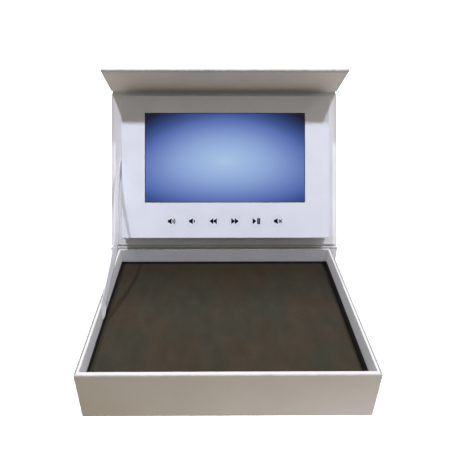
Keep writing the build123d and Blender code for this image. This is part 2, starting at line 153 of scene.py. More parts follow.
class VideoBoxPad(bpy.types.PropertyGroup):
    """The flocked pad in the tray."""

    colour: bpy.props.FloatVectorProperty(
        name="Pad", description="Colour of the flocked cloth", size=3, subtype="COLOR",
        default=(0.028, 0.024, 0.0165), min=0, max=1)
    corner: bpy.props.FloatProperty(
        name="Corner", description="Rounding of the pad's upright edges", unit="LENGTH", default=1.2 * MM)
    edge: bpy.props.FloatProperty(
        name="Edge", description="Rounding of the pad's upper edge", unit="LENGTH", default=1.0 * MM)
    cell: bpy.props.FloatProperty(
        name="Cell", description="Spacing of the mesh lines across the pad", unit="LENGTH", default=3 * MM)
    unevenness: bpy.props.FloatProperty(
        name="Unevenness", description="Depth of the slow waves in the cloth", unit="LENGTH",
        default=0.22 * MM)


class VideoBoxScreen(bpy.types.PropertyGroup):
    """The lit screen and the signs on the buttons."""

    picture_width: bpy.props.FloatProperty(
        name="Picture width", description="Width of the lit picture", unit="LENGTH", default=154.08 * MM)
    picture_height: bpy.props.FloatProperty(
        name="Picture height", description="Height of the lit picture", unit="LENGTH", default=85.92 * MM)
    brightness: bpy.props.FloatProperty(
        name="Brightness", description="Strength of the picture's light", default=1.0, min=0, max=20)
    ink: bpy.props.FloatVectorProperty(
        name="Ink", description="Colour of the printed signs", size=3, subtype="COLOR",
        default=(0.004, 0.004, 0.009), min=0, max=1)
    ink_thickness: bpy.props.FloatProperty(
        name="Ink thickness", description="Height of the printed signs over the buttons", unit="LENGTH",
        default=0.03 * MM)


class VideoBoxRibbon(bpy.types.PropertyGroup):
    """The satin ribbon that stays the lid."""

    colour: bpy.props.FloatVectorProperty(
        name="Ribbon", description="Colour of the satin", size=3, subtype="COLOR",
        default=(0.94, 0.94, 0.97), min=0, max=1)
    width: bpy.props.FloatProperty(
        name="Width", description="Width of the ribbon", unit="LENGTH", default=13 * MM)
    thickness: bpy.props.FloatProperty(
        name="Thickness", description="Thickness of the ribbon", unit="LENGTH", default=0.25 * MM)
    bow: bpy.props.FloatProperty(
        name="Bow", description="How far the slack ribbon bows into the box", unit="LENGTH", default=2.0 * MM)
    wave: bpy.props.FloatProperty(
        name="Wave", description="How far the slack ribbon swings in low down and out higher up", unit="LENGTH",
        default=2.3 * MM)
    flutter: bpy.props.FloatProperty(
        name="Flutter", description="Depth of the ribbon's third, smallest swing", unit="LENGTH",
        default=-0.85 * MM)
    twist: bpy.props.FloatProperty(
        name="Twist", description="How far the ribbon's middle is turned towards the front", subtype="ANGLE",
        default=radians(4))


class VideoBoxStage(bpy.types.PropertyGroup):
    """Camera, floor and lights."""

    lens: bpy.props.FloatProperty(
        name="Lens", description="Focal length on a 36 mm sensor", default=33.05, min=1)
    eye: bpy.props.FloatVectorProperty(
        name="Camera", description="Where the camera stands", size=3, subtype="XYZ", unit="LENGTH",
        default=(-0.00847, -0.26939, 0.28559))
    turn: bpy.props.FloatVectorProperty(
        name="Camera turn", description="How the camera is turned", size=3, subtype="EULER", unit="ROTATION",
        default=(radians(62.29), radians(-0.12), radians(-0.34)))
    shift: bpy.props.FloatVectorProperty(
        name="Shift", description="Sideways and upward shift of the picture", size=2,
        default=(0.0230, -0.0793))
    light: bpy.props.FloatProperty(
        name="Light", description="Brightness of the whole studio", default=1.0, min=0)


class VideoBoxSettings(bpy.types.PropertyGroup):
    """Everything a user would change on the box."""

    card: bpy.props.PointerProperty(type=VideoBoxCard)
    pad: bpy.props.PointerProperty(type=VideoBoxPad)
    screen: bpy.props.PointerProperty(type=VideoBoxScreen)
    ribbon: bpy.props.PointerProperty(type=VideoBoxRibbon)
    stage: bpy.props.PointerProperty(type=VideoBoxStage)


# ------------------------------------------------------------------ shader node helpers


def connect(tree, socket, value):
    """Links another node's output to an input, or sets the input to a value."""
    if isinstance(value, bpy.types.NodeSocket):
        tree.links.new(value, socket)
    else:
        socket.default_value = (*value, 1)[:4] if socket.type == "RGBA" else value


def feed(tree, node, **inputs):
    """Connects a node's inputs, named with _ for each space."""
    for name, value in inputs.items():
        connect(tree, node.inputs[name.replace("_", " ")], value)


def new_material(name, roughness, metallic=0.0):
    """A material, its node tree and its shader."""
    material = bpy.data.materials.new(name)
    material.use_nodes = True
    tree = material.node_tree
    shader = tree.nodes["Principled BSDF"]
    feed(tree, shader, Roughness=roughness, Metallic=metallic)
    return material, tree, shader


def add_node(tree, kind, settings=None, **inputs):
    """A node of a tree with its settings and its inputs, each a value or another node's output."""
    node = tree.nodes.new("ShaderNode" + kind)
    for name, value in (settings or {}).items():
        setattr(node, name, value)
    feed(tree, node, **inputs)
    return node


def maths(tree, operation, *values):
    """A sum, product or other operation on values and numbers."""
    node = add_node(tree, "Math", {"operation": operation})
    for socket, value in zip(node.inputs, values):
        connect(tree, socket, value)
    return node.outputs["Value"]


def greatest(tree, values):
    """The greatest of some values."""
    return reduce(lambda one, other: maths(tree, "MAXIMUM", one, other), values)


def length_of(tree, vector):
    """The length of a vector."""
    return add_node(tree, "VectorMath", {"operation": "LENGTH"}, Vector=vector).outputs["Value"]


def object_coordinates(tree):
    """Object coordinates, which are the shared frame's on every piece."""
    return add_node(tree, "TexCoord").outputs["Object"]


def place(tree, scale=(1, 1, 1), turn=(0, 0, 0)):
    """Object coordinates turned and scaled for a pattern."""
    where = add_node(tree, "Mapping", Vector=object_coordinates(tree), Rotation=turn, Scale=scale)
    return where.outputs["Vector"]


def parts_of(tree, vector):
    """A vector's X, Y and Z."""
    return add_node(tree, "SeparateXYZ", Vector=vector).outputs


def in_box(tree, centre, half, turn=(0, 0, 0)):
    """X, Y and Z in a box's own frame, in which its sides lie at 1 and -1."""
    where = add_node(tree, "Mapping", {"vector_type": "TEXTURE"}, Vector=object_coordinates(tree),
                     Location=centre, Rotation=turn, Scale=half)
    return parts_of(tree, where.outputs["Vector"])


def speckle(tree, where, size, detail=2.0, rough=0.5):
    """Noise of a size in metres."""
    return add_node(tree, "TexNoise", Vector=where, Scale=1 / size, Detail=detail, Roughness=rough).outputs["Fac"]


def spread(tree, value, low, high, to_low, to_high):
    """A value mapped from one range to another and kept inside it."""
    return add_node(tree, "MapRange", Value=value, From_Min=low, From_Max=high, To_Min=to_low,
                    To_Max=to_high).outputs["Result"]


def varied(tree, noise_value, low, high, reach=0.2):
    """Noise, whose values lie mostly within a reach of a half, mapped to a range."""
    return spread(tree, noise_value, 0.5 - reach, 0.5 + reach, low, high)


def tinted(tree, colour, factor):
    """A colour made lighter or darker by a factor."""
    return add_node(tree, "VectorMath", {"operation": "SCALE"}, Vector=colour, Scale=factor).outputs["Vector"]


def mixed(tree, factor, low, high):
    """One colour mixed into another."""
    mix = add_node(tree, "Mix", {"data_type": "RGBA"})
    sockets = {socket.identifier: socket for socket in (*mix.inputs, *mix.outputs)}
    for name, value in (("Factor_Float", factor), ("A_Color", low), ("B_Color", high)):
        connect(tree, sockets[name], value)
    return sockets["Result_Color"]


def shifted(colour, shifts):
    """A colour with each channel made stronger or weaker."""
    return tuple(part * shift for part, shift in zip(colour, shifts))


def raised(tree, shader, height, depth, strength=1.0):
    """Bump of a depth in metres on a shader."""
    bump = add_node(tree, "Bump", Height=height, Distance=depth, Strength=strength)
    feed(tree, shader, Normal=bump.outputs["Normal"])


# ------------------------------------------------------------------ materials


def arrises(tree, node, board, width):
    """1 along the outer edges of a node that is a box in a board's frame, and 0 away from them."""
    low, high = measure(node, board)
    half = (high - low) / 2
    near = [spread(tree, maths(tree, "ABSOLUTE", part), 1 - width / size, 1 - 0.2 * width / size, 0.0, 1.0)
            for part, size in zip(in_box(tree, board @ ((low + high) / 2), half, board.to_euler()), half)]
    return greatest(tree, [maths(tree, "MULTIPLY", near[a], near[b]) for a, b in ((0, 1), (1, 2), (0, 2))])


def within(tree, low, high):
    """1 inside a box in the shared frame and 0 outside it."""
    parts = in_box(tree, (low + high) / 2, (high - low) / 2)
    return maths(tree, "LESS_THAN", greatest(tree, [maths(tree, "ABSOLUTE", part) for part in parts]), 1.0)


def zone(low, high, colour):
    """A box's two corners and a paper's colour in it."""
    return Vector(low), Vector(high), tuple(colour)


def paper(name, colour, roughness=0.62, node=None, board=None, rub=0.0, width=1.0 * MM, zones=()):
    """Wrapped paper: cloudy pulp, short fibres, a faintly uneven sheen and edges greyed by handling.

    Each of the zones is a box's two corners and the paper's colour in it, a colour that paints light or shade onto the
    paper.
    """
    material, tree, shader = new_material(name, roughness)
    where = place(tree)
    clouds = varied(tree, speckle(tree, where, 22 * MM, 3), 0.975, 1.015, 0.15)
    fibres = speckle(tree, place(tree, scale=(1, 1, 0.35)), 0.5 * MM, 4, 0.65)
    factor = maths(tree, "MULTIPLY", clouds, varied(tree, fibres, 0.985, 1.01))
    if node:
        wear_and_painted_shade = varied(tree, speckle(tree, where, 5 * MM, 3), 1 - 0.6 * rub, 1 - 1.2 * rub)
        edges = arrises(tree, node, board, width)
        fade = maths(tree, "MULTIPLY_ADD", edges, maths(tree, "SUBTRACT", wear_and_painted_shade, 1.0), 1.0)
        factor = maths(tree, "MULTIPLY", factor, fade)
    shown = tinted(tree, colour, factor)
    for low, high, other in zones:
        shown = mixed(tree, within(tree, low, high), shown, tinted(tree, other, factor))
    feed(tree, shader, Base_Color=shown, Roughness=varied(tree, fibres, roughness - 0.05, roughness + 0.06),
         Specular_IOR_Level=0.35)
    raised(tree, shader, fibres, 0.02 * MM)
    return material


def flock(colour):
    """Dark flocked cloth: dense short pile in soft patches of brushing, with painted shade that makes it darker
    towards the back and lighter towards the front.
    """
    material, tree, shader = new_material("dark_flock", 0.95)
    where = place(tree)
    patches = speckle(tree, where, 34 * MM, 3, 0.55)
    pile = speckle(tree, where, 0.35 * MM, 3, 0.7)
    smudges = speckle(tree, place(tree, scale=(1, 0.6, 1)), 13 * MM, 3, 0.6)
    # Painted shade: the cloth's colour darker and browner towards the back.
    front, back = shifted(colour, (1.25, 1.24, 1.20)), shifted(colour, (0.76, 0.70, 0.56))
    olive, brown = (0.94, 1.02, 1.03), (1.10, 0.99, 0.92)
    to_back = spread(tree, parts_of(tree, where)["Y"], 10 * MM, 62 * MM, 0.0, 1.0)
    front_to_back_shade = mixed(tree, to_back, front, back)
    hue = mixed(tree, varied(tree, patches, 0.0, 1.0, 0.12), olive, brown)
    tone = add_node(tree, "VectorMath", {"operation": "MULTIPLY"})
    for socket, value in zip(tone.inputs, (front_to_back_shade, hue)):
        connect(tree, socket, value)
    smudged_and_shaded = tinted(tree, tone.outputs["Vector"], varied(tree, smudges, 0.89, 1.08, 0.15))
    feed(tree, shader, Base_Color=tinted(tree, smudged_and_shaded, varied(tree, pile, 0.72, 1.28, 0.25)),
         Sheen_Weight=0.03, Sheen_Roughness=0.6, Specular_IOR_Level=0.1)
    raised(tree, shader, pile, 0.12 * MM, 0.8)
    return material


def picture(brightness, centre, width, height):
    """The lit panel: a soft glow on deep blue inside a black border."""
    material, tree, shader = new_material("screen_picture", 0.14)
    parts = in_box(tree, centre, (width / 2, height / 2, width / 2), (pi / 2 - LEAN, 0, 0))
    widening, flattening, glow_drop, border = 0.23, 1.125, 0.08, 0.002
    across = maths(tree, "MULTIPLY", parts["X"], maths(tree, "MULTIPLY_ADD", parts["Y"], widening, 1.0))
    up = maths(tree, "MULTIPLY_ADD", parts["Y"], flattening, glow_drop)
    reach = length_of(tree, add_node(tree, "CombineXYZ", X=across, Y=up).outputs["Vector"])
    ramp = add_node(tree, "ValToRGB", Fac=spread(tree, reach, 0.0, 1.6, 0.0, 1.0))
    stops = ((0.0, (0.38, 0.53, 0.77)), (0.22, (0.295, 0.435, 0.70)), (0.375, (0.23, 0.34, 0.635)),
             (0.5, (0.16, 0.246, 0.53)), (0.625, (0.097, 0.16, 0.447)), (0.75, (0.036, 0.08, 0.274)),
             (0.875, (0.011, 0.030, 0.123)), (1.0, (0.0, 0.001, 0.018)))
    while len(ramp.color_ramp.elements) < len(stops):
        ramp.color_ramp.elements.new(0.5)
    for element, (position, colour) in zip(ramp.color_ramp.elements, stops):
        element.position = position
        element.color = (*colour, 1)
    furthest = greatest(tree, [maths(tree, "ABSOLUTE", parts[axis]) for axis in "XY"])
    inside = spread(tree, furthest, 1 - border, 1 + border, 1.0, 0.0)
    feed(tree, shader, Base_Color=(0.004, 0.004, 0.005), Emission_Strength=brightness,
         Emission_Color=mixed(tree, inside, (0, 0, 0), ramp.outputs["Color"]))
    return material


def ink(colour):
    """Printed ink: near black and slightly glossier than the paper."""
    material, tree, shader = new_material("printed_ink", 0.4)
    grain = speckle(tree, place(tree), 0.3 * MM)
    feed(tree, shader, Base_Color=tinted(tree, colour, varied(tree, grain, 0.8, 1.25)), Specular_IOR_Level=0.1)
    return material


def satin(colour):
    """Woven satin: fine ribs along the ribbon and a soft sheen."""
    material, tree, shader = new_material("satin_ribbon", 0.42)
    uv = add_node(tree, "TexCoord").outputs["UV"]
    ribs = add_node(tree, "TexWave", {"bands_direction": "X"}, Vector=uv, Scale=1 / (2.2 * MM), Distortion=0.4)
    threads = add_node(tree, "TexWave", {"bands_direction": "Y"}, Vector=uv, Scale=1 / (1.6 * MM), Distortion=0.8)
    weave = maths(tree, "ADD", ribs.outputs["Fac"], threads.outputs["Fac"])
    feed(tree, shader, Base_Color=tinted(tree, colour, spread(tree, weave, 0.0, 2.0, 0.9, 1.03)), Sheen_Weight=0.9)
    raised(tree, shader, weave, 0.03 * MM)
    return material


def foam():
    """Stiff white foam: small closed cells."""
    material, tree, shader = new_material("stiff_foam", 0.85)
    cells = add_node(tree, "TexVoronoi", Vector=place(tree), Scale=1 / (0.7 * MM)).outputs["Distance"]
    feed(tree, shader, Base_Color=tinted(tree, (0.78, 0.78, 0.77), spread(tree, cells, 0.0, 0.8, 1.02, 0.88)))
    raised(tree, shader, cells, 0.08 * MM)
    return material


def grey_card():
    """Recycled grey board: mixed pulp with darker flecks."""
    material, tree, shader = new_material("grey_card", 0.85)
    flecks = speckle(tree, place(tree), 1.1 * MM, 4, 0.7)
    feed(tree, shader, Base_Color=mixed(tree, spread(tree, flecks, 0.35, 0.6, 0.0, 1.0), (0.20, 0.19, 0.175),
                                        (0.34, 0.33, 0.31)))
    raised(tree, shader, flecks, 0.05 * MM)
    return material


def circuit():
    """Green solder mask over copper tracks."""
    material, tree, shader = new_material("circuit_board", 0.35)
    tracks = add_node(tree, "TexBrick", {"offset": 0.5}, Vector=place(tree, turn=(pi / 2 - LEAN, 0, 0)),
                      Scale=1 / (6 * MM), Mortar_Size=0.03, Color1=(0.012, 0.09, 0.035),
                      Color2=(0.015, 0.11, 0.045), Mortar=(0.05, 0.22, 0.09))
    feed(tree, shader, Base_Color=tracks.outputs["Color"])
    raised(tree, shader, tracks.outputs["Fac"], 0.03 * MM)
    return material


def moulded(name, colour, roughness):
    """Moulded plastic: spark-eroded grain."""
    material, tree, shader = new_material(name, roughness)
    grain = speckle(tree, place(tree), 0.25 * MM, 3)
    feed(tree, shader, Base_Color=tinted(tree, colour, varied(tree, grain, 0.85, 1.15)))
    raised(tree, shader, grain, 0.02 * MM)
    return material


def drawn_metal(name, colour, roughness):
    """Pressed or plated metal: fine drawing lines."""
    material, tree, shader = new_material(name, roughness, 1.0)
    lines = speckle(tree, place(tree, scale=(0.06, 1, 1)), 0.3 * MM, 3)
    feed(tree, shader, Base_Color=tinted(tree, colour, varied(tree, lines, 0.88, 1.05)),
         Roughness=varied(tree, lines, roughness - 0.06, roughness + 0.1))
    raised(tree, shader, lines, 0.01 * MM)
    return material


def pouch_foil():
    """Crinkled laminate foil of a pouch cell."""
    material, tree, shader = new_material("pouch_foil", 0.34, 0.85)
    crinkle = add_node(tree, "TexVoronoi", {"feature": "SMOOTH_F1"}, Vector=place(tree),
                       Scale=1 / (9 * MM)).outputs["Distance"]
    feed(tree, shader, Base_Color=tinted(tree, (0.62, 0.63, 0.65), spread(tree, crinkle, 0.0, 0.8, 0.9, 1.05)))
    raised(tree, shader, crinkle, 0.15 * MM)
    return material


def flat_cable():
    """Amber polyimide cable with copper tracks showing through."""
    material, tree, shader = new_material("flat_cable", 0.3)
    tracks = add_node(tree, "TexWave", {"bands_direction": "X"}, Vector=place(tree), Scale=1 / (3.2 * MM))
    feed(tree, shader, Base_Color=mixed(tree, tracks.outputs["Fac"], (0.30, 0.10, 0.012), (0.48, 0.20, 0.04)))
    return material


def dress(material, *names):
    """Gives CAD nodes a finish."""
    for name in names:
        slots = NODES[name].material_slots
        if not slots:
            NODES[name].data.materials.append(material)
        for slot in slots:
            slot.material = material


# ------------------------------------------------------------------ mesh helpers


def finished(mesh, name, material, angle=35):
    """A bmesh turned into a shown piece with smooth faces between its sharp edges."""
    bmesh.ops.recalc_face_normals(mesh, faces=mesh.faces[:])
    data = bpy.data.meshes.new(name)
    mesh.to_mesh(data)
    mesh.free()
    piece = bpy.data.objects.new(name, data)
    bpy.context.scene.collection.objects.link(piece)
    data.materials.append(material)
    data.shade_smooth()
    data.set_sharp_from_angle(angle=radians(angle))
    return piece


def round_off(mesh, geometry, radius, segments, affect="EDGES"):
    """Rounds edges, or the corners of a flat outline."""
    bmesh.ops.bevel(mesh, geom=geometry, offset=radius, offset_type="OFFSET", segments=segments, profile=0.5,
                    affect=affect, material=-1)


def carry(mesh, made, offset):
    """Moves the points that an extrusion made."""
    bmesh.ops.translate(mesh, vec=offset, verts=[v for v in made["geom"] if isinstance(v, bmesh.types.BMVert)])


def on_board(board, x, *places):
    """Points at x, each some way up a board and off its inner face."""
    return [board @ Vector((x, up, off)) for up, off in places]


def drawn_sheet(line, across, thickness, outward, radii, segments=4):
    """A thin sheet: a line of points drawn out across, its folds rounded, thickened outwards."""
    mesh = bmesh.new()
    points = [mesh.verts.new(point) for point in line]
    edges = [mesh.edges.new(pair) for pair in zip(points, points[1:])]
    carry(mesh, bmesh.ops.extrude_edge_only(mesh, edges=edges), across)
    folds = [[e for e in point.link_edges if len(e.link_faces) == 2] for point in points[1:-1]]
    for fold, radius in zip(folds, radii):
        if fold:
            round_off(mesh, fold, radius, segments)
    mesh.normal_update()
    mesh.faces.ensure_lookup_table()
    if mesh.faces[0].normal.dot(outward) > 0:
        bmesh.ops.reverse_faces(mesh, faces=mesh.faces[:])
    bmesh.ops.solidify(mesh, geom=mesh.faces[:], thickness=thickness)
    return mesh


def cut_across(mesh, positions, axis):
    """Cuts a mesh with planes at positions along an axis."""
    normal = Vector((0, 0, 0))
    normal[axis] = 1
    for position in positions:
        bmesh.ops.bisect_plane(mesh, geom=mesh.verts[:] + mesh.edges[:] + mesh.faces[:],
                               plane_co=normal * position, plane_no=normal)


# ------------------------------------------------------------------ card and paper


def card_zones(card):
    """The places where painted light or shade gives a board's paper another colour, the later ones over the earlier.
    """
    low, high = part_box("tray")
    spine_low, spine_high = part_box("spine_board")
    wall, rim_depth, lid_edge, past_end = 3.05 * MM, 0.2 * MM, 2.4 * MM, 1.06
    shade_half, shade_depth, shade_in, shade_out = 98 * MM, 0.7 * MM, 0.5 * MM, 0.8 * MM
    front_left, right, back = (low.x + wall, low.y + wall, low.z + CLEAR), high.x - wall, high.y - wall
    # Painted shade: the rim tops darker than the wrap.
    rim = zone((low.x, low.y, high.z - rim_depth), (high.x, high.y, high.z + CLEAR), card.rim)
    # Painted light: the turned-in paper lighter and bluer than the wrap.
    turned_in_painted_light = zone(front_left, (right, back, high.z), card.turned_in_painted_light)
    # Painted shade: near black in the gap between the pad and the walls.
    inside = zone(front_left, (right, back, high.z - card.turn_in), card.inside)
    # Painted shadow: the back rim darkened where the lid's block shades it.
    rim_painted_shadow = zone((-shade_half, back - shade_in, high.z - shade_depth),
                       (shade_half, back + shade_out, high.z + CLEAR), card.wear_and_painted_shade)
    # Painted light: the lid's lower edge lightened where it lies in shade.
    lid_foot_painted_light = zone((low.x - OVERHANG, high.y, high.z),
                    (high.x + OVERHANG, high.y + OVERHANG, high.z + lid_edge), card.spine_ends_painted_light)
    # Painted light: the spine's ends past the tray lightened where they lie in shade.
    spine_ends_painted_light = [zone((min(x, past_end * x), spine_low.y - CLEAR, 0),
                       (max(x, past_end * x), spine_high.y, high.z), card.spine_ends_painted_light) for x in (low.x, high.x)]
    # Painted shade: a dark line along the spine's top, under the hinge paper's crease.
    spine_painted_shade = zone((spine_low.x, spine_low.y - CLEAR, spine_high.z - shade_depth),
                         spine_high + CLEAR * Vector((1, 1, 1)), card.wear_and_painted_shade)
    return {"tray": (rim, turned_in_painted_light, inside, rim_painted_shadow), "lid_board": (lid_foot_painted_light,),
            "spine_board": (*spine_ends_painted_light, spine_painted_shade)}


class VIDEOBOX_OT_card(bpy.types.Operator):
    """Finish the wrapped boards, the linings and the printed face"""

    bl_idname = "videobox.card"
    bl_label = "Card and linings"

    def execute(self, context):
        card = context.scene.video_box.card
        paper("wrapped_card", card.wrap)
        level = Matrix.Identity(4)
        zones = card_zones(card)
        for node, board, rub, width in (("tray", level, 0.4, 1.0), ("spine_board", level, 0.2, 1.0),
                                        ("lid_board", LID, 0.2, 1.0), ("flap_board", FLAP, 0.45, 1.7)):
            dress(paper("wrapped_" + node, card.wrap, node=node, board=board, rub=rub, width=width * MM,
                        zones=zones.get(node, ())), node)
        dress(paper("lining_paper", card.lining), "lid_lining")
        dress(paper("flap_lining_paper", card.flap_lining), "flap_lining")
        face = paper("printed_face", card.face, 0.5, "face_panel", LID, 0.02)
        dress(face, "face_panel", *("button_" + name for name in SIGNS))
        dress(grey_card(), "back_card")
        dress(foam(), "block_frame")
        return {"FINISHED"}


class VIDEOBOX_OT_side_wraps(bpy.types.Operator):
    """Lay the wrapping paper over the tray's side walls and down inside them"""

    bl_idname = "videobox.side_wraps"
    bl_label = "Tray side wraps"

    def execute(self, context):
        card = context.scene.video_box.card
        low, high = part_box("tray")
        wall, outer, inner, gap, lift = 3.1 * MM, 0.9 * MM, 0.4 * MM, 0.01 * MM, 0.3 * MM
        shade_line_width, shade_line_depth, rim_depth = 1.4 * MM, 0.5 * MM, 0.15 * MM
        front, across = low.y + card.corner_inset, Vector((0, high.y - low.y - 2 * card.corner_inset, 0))
        # Painted shade: a dark line along the side walls' outer rim edges, and the rim tops darker than the wrap.
        edges = [zone((x - shade_line_width, low.y, high.z - shade_line_depth), (x + shade_line_width, high.y, high.z + CLEAR),
                      [0.6 * part for part in card.wear_and_painted_shade]) for x in (low.x, high.x)]
        rim = zone((low.x, low.y, high.z - rim_depth), (high.x, high.y, high.z + CLEAR), card.rim)
        material = paper("side_wrap", card.wrap, zones=(rim, *edges))
        for name, side in (("left", -1), ("right", 1)):
            out, into = side * (high.x + gap), side * (high.x - wall - gap)
            line = [
                (out, front, low.z + lift),
                (out, front, high.z + gap),
                (into, front, high.z + gap),
                (into, front, high.z - card.turn_in),
            ]
            mesh = drawn_sheet(line, across, card.wrap_thickness, Vector((side, 0, 0)), (outer, inner), 5)
            piece = finished(mesh, "tray_wrap_" + name, material)
            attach(piece, "tray")
        return {"FINISHED"}


class VIDEOBOX_OT_hinge_papers(bpy.types.Operator):
    """Join spine, lid and flap with the two creased papers that are their hinges"""

    bl_idname = "videobox.hinge_papers"
    bl_label = "Hinge papers"

    def execute(self, context):
        card = context.scene.video_box.card
        material = bpy.data.materials["wrapped_card"]
        low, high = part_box("spine_board")
        board_low, board_high = measure("lid_board")
        flap_top = measure("flap_board", FLAP)[1].y
        edge, gap, lap = 0.5 * MM, 0.01 * MM, 14 * MM
        shade_bottom, shade_top = HINGE.z - 0.6 * MM, HINGE.z - 0.2 * MM
        set_back, seam = board_low.y, board_high.y - lap
        off, back, left = board_low.z - gap, high.y + gap, low.x + edge
        across, radii = Vector((high.x - low.x - 2 * edge, 0, 0)), (card.crease, card.crease)

        line = [Vector((left, back, low.z + edge)), Vector((left, back, HINGE.z - edge)),
                *on_board(LID, left, (set_back, off), (seam, off))]
        mesh = drawn_sheet(line, across, card.skin_thickness, Vector((0, 1, 0)), radii)
        # Painted shade: the hinge paper's crease above the spine is darkened where it lies in shade.
        shaded_hinge = paper("hinge_paper", card.wrap, zones=[
            zone((low.x, low.y, shade_bottom), (high.x, high.y + OVERHANG, shade_top),
                 [1.5 * part for part in card.wear_and_painted_shade])])
        hinge = finished(mesh, "lid_hinge_wrap", shaded_hinge, 60)
        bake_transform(hinge)
        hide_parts("lid_hinge_paper")

        line = [*on_board(LID, left, (seam, off), (board_high.y + set_back / 2, off)),
                *on_board(FLAP, left, (set_back / 2, off), (flap_top - edge, off))]
        mesh = drawn_sheet(line, across, card.skin_thickness, Vector((0, 1, 0)), radii)
        fold = finished(mesh, "flap_hinge_wrap", material, 60)
        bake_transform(fold)
        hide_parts("flap_hinge_paper")
        return {"FINISHED"}


class VIDEOBOX_OT_crease_paper(bpy.types.Operator):
    """Carry the lining paper across the crease between lid and flap"""

    bl_idname = "videobox.crease_paper"
    bl_label = "Crease paper"

    def execute(self, context):
        card = context.scene.video_box.card
        material = bpy.data.materials["flap_lining_paper"]
        low, high = measure("lid_lining")
        flap_start = measure("flap_lining", FLAP)[0].y
        off, swell, gap, flat = 0.12 * MM, 0.35 * MM, 0.03 * MM, 0.5 * MM
        tight, wide = 0.2 * MM, 0.4 * MM
        line = [*on_board(LID, low.x, (high.y + gap, off), (high.y + flat, off), (high.y + 3 * flat, swell)),
                *on_board(FLAP, low.x, (flap_start - flat, off), (flap_start - gap, off))]
        mesh = drawn_sheet(line, Vector((high.x - low.x, 0, 0)), card.wrap_thickness,
                           LID.to_3x3() @ Vector((0, 1, -1)), (tight, wide, tight), 3)
        fold = finished(mesh, "flap_crease_paper", material, 60)
        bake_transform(fold)
        return {"FINISHED"}


class VIDEOBOX_OT_block_wrap(bpy.types.Operator):
    """Wrap the sides of the screen block in paper, open at the charging socket"""

    bl_idname = "videobox.block_wrap"
    bl_label = "Block wrap"

    def execute(self, context):
        card = context.scene.video_box.card
        low, high = measure("face_panel")
        base = measure("back_card")[0].z
        gap, margin, corner, below_edge = 0.02 * MM, 0.35 * MM, 1.0 * MM, 0.6 * MM
        mesh = bmesh.new()
        corners = [mesh.verts.new((x, y, base)) for x, y in
                   ((low.x - gap, low.y - gap), (high.x + gap, low.y - gap),
                    (high.x + gap, high.y + gap), (low.x - gap, high.y + gap))]
        mesh.faces.new(corners)
        round_off(mesh, mesh.verts[:], corner, 5, "VERTICES")
        outline = mesh.faces[:]
        carry(mesh, bmesh.ops.extrude_edge_only(mesh, edges=mesh.edges[:]), (0, 0, high.z - below_edge - base))
        bmesh.ops.delete(mesh, geom=outline, context="FACES_ONLY")

        low_cut, high_cut = measure("charging_socket")
        low_cut -= margin * Vector((1, 1, 1))
        high_cut += margin * Vector((1, 1, 1))
        cut_across(mesh, (low_cut.y, high_cut.y), 1)
        cut_across(mesh, (low_cut.z, high_cut.z), 2)
        centres = [(face, face.calc_center_median()) for face in mesh.faces]
        hole = [face for face, centre in centres
                if centre.x > high.x and low_cut.y < centre.y < high_cut.y and low_cut.z < centre.z < high_cut.z]
        bmesh.ops.delete(mesh, geom=hole, context="FACES")
        bmesh.ops.recalc_face_normals(mesh, faces=mesh.faces[:])
        bmesh.ops.solidify(mesh, geom=mesh.faces[:], thickness=-card.wrap_thickness)
        bmesh.ops.transform(mesh, matrix=LID, verts=mesh.verts[:])
        piece = finished(mesh, "block_wrap", bpy.data.materials["printed_face"])
        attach(piece, "lid")
        return {"FINISHED"}


# ------------------------------------------------------------------ pad


class VIDEOBOX_OT_pad(bpy.types.Operator):
    """Lay the flocked pad in the tray"""

    bl_idname = "videobox.pad"
    bl_label = "Flocked pad"

    def execute(self, context):
        pad = context.scene.video_box.pad
        low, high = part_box("insert_pad")
        long_wave, short_wave, margin, hair = 38 * MM, 13 * MM, 9 * MM, 0.01 * MM
        mesh = bmesh.new()
        bmesh.ops.create_cube(mesh, size=1)
        bmesh.ops.scale(mesh, vec=high - low, verts=mesh.verts[:])
        bmesh.ops.translate(mesh, vec=(low + high) / 2, verts=mesh.verts[:])
        upright = [e for e in mesh.edges if e.verts[0].co.z != e.verts[1].co.z]
        round_off(mesh, upright, pad.corner, 5)
        rim = [e for e in mesh.edges if all(v.co.z > high.z - hair for v in e.verts)]
        round_off(mesh, rim, pad.edge, 4)
        for axis in (0, 1):
            count = round((high[axis] - low[axis]) / pad.cell)
            step = (high[axis] - low[axis] - 4 * pad.corner) / count
            start = low[axis] + 2 * pad.corner
            cut_across(mesh, [start + step * i for i in range(count + 1)], axis)
        for vertex in mesh.verts:
            point = vertex.co
            if point.z > high.z - hair:
                nearest = min(point.x - low.x, high.x - point.x, point.y - low.y, high.y - point.y)
                wave = noise.noise(point / long_wave) + 0.4 * noise.noise(point / short_wave)
                point.z -= pad.unevenness * min(1, nearest / margin) * (0.7 + wave)
        piece = finished(mesh, "flocked_pad", flock(pad.colour), 50)
        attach(piece, "tray")
        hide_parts("insert_pad")
        return {"FINISHED"}


# ------------------------------------------------------------------ screen and signs


class VIDEOBOX_OT_screen(bpy.types.Operator):
    """Light the screen and finish its frame"""

    bl_idname = "videobox.screen"
    bl_label = "Screen"

    def execute(self, context):
        screen = context.scene.video_box.screen
        low, high = measure("screen_glass")
        centre = LID @ Vector(((low.x + high.x) / 2, (low.y + high.y) / 2, high.z))
        dress(picture(screen.brightness, centre, screen.picture_width, screen.picture_height), "screen_glass")
        dress(drawn_metal("screen_frame", (0.05, 0.05, 0.055), 0.4), "screen_frame")
        return {"FINISHED"}


def add_shape(mesh, corners):
    """A flat shape of a sign, its corners in millimetres."""
    mesh.faces.new([mesh.verts.new((x * MM, y * MM, 0)) for x, y in corners])


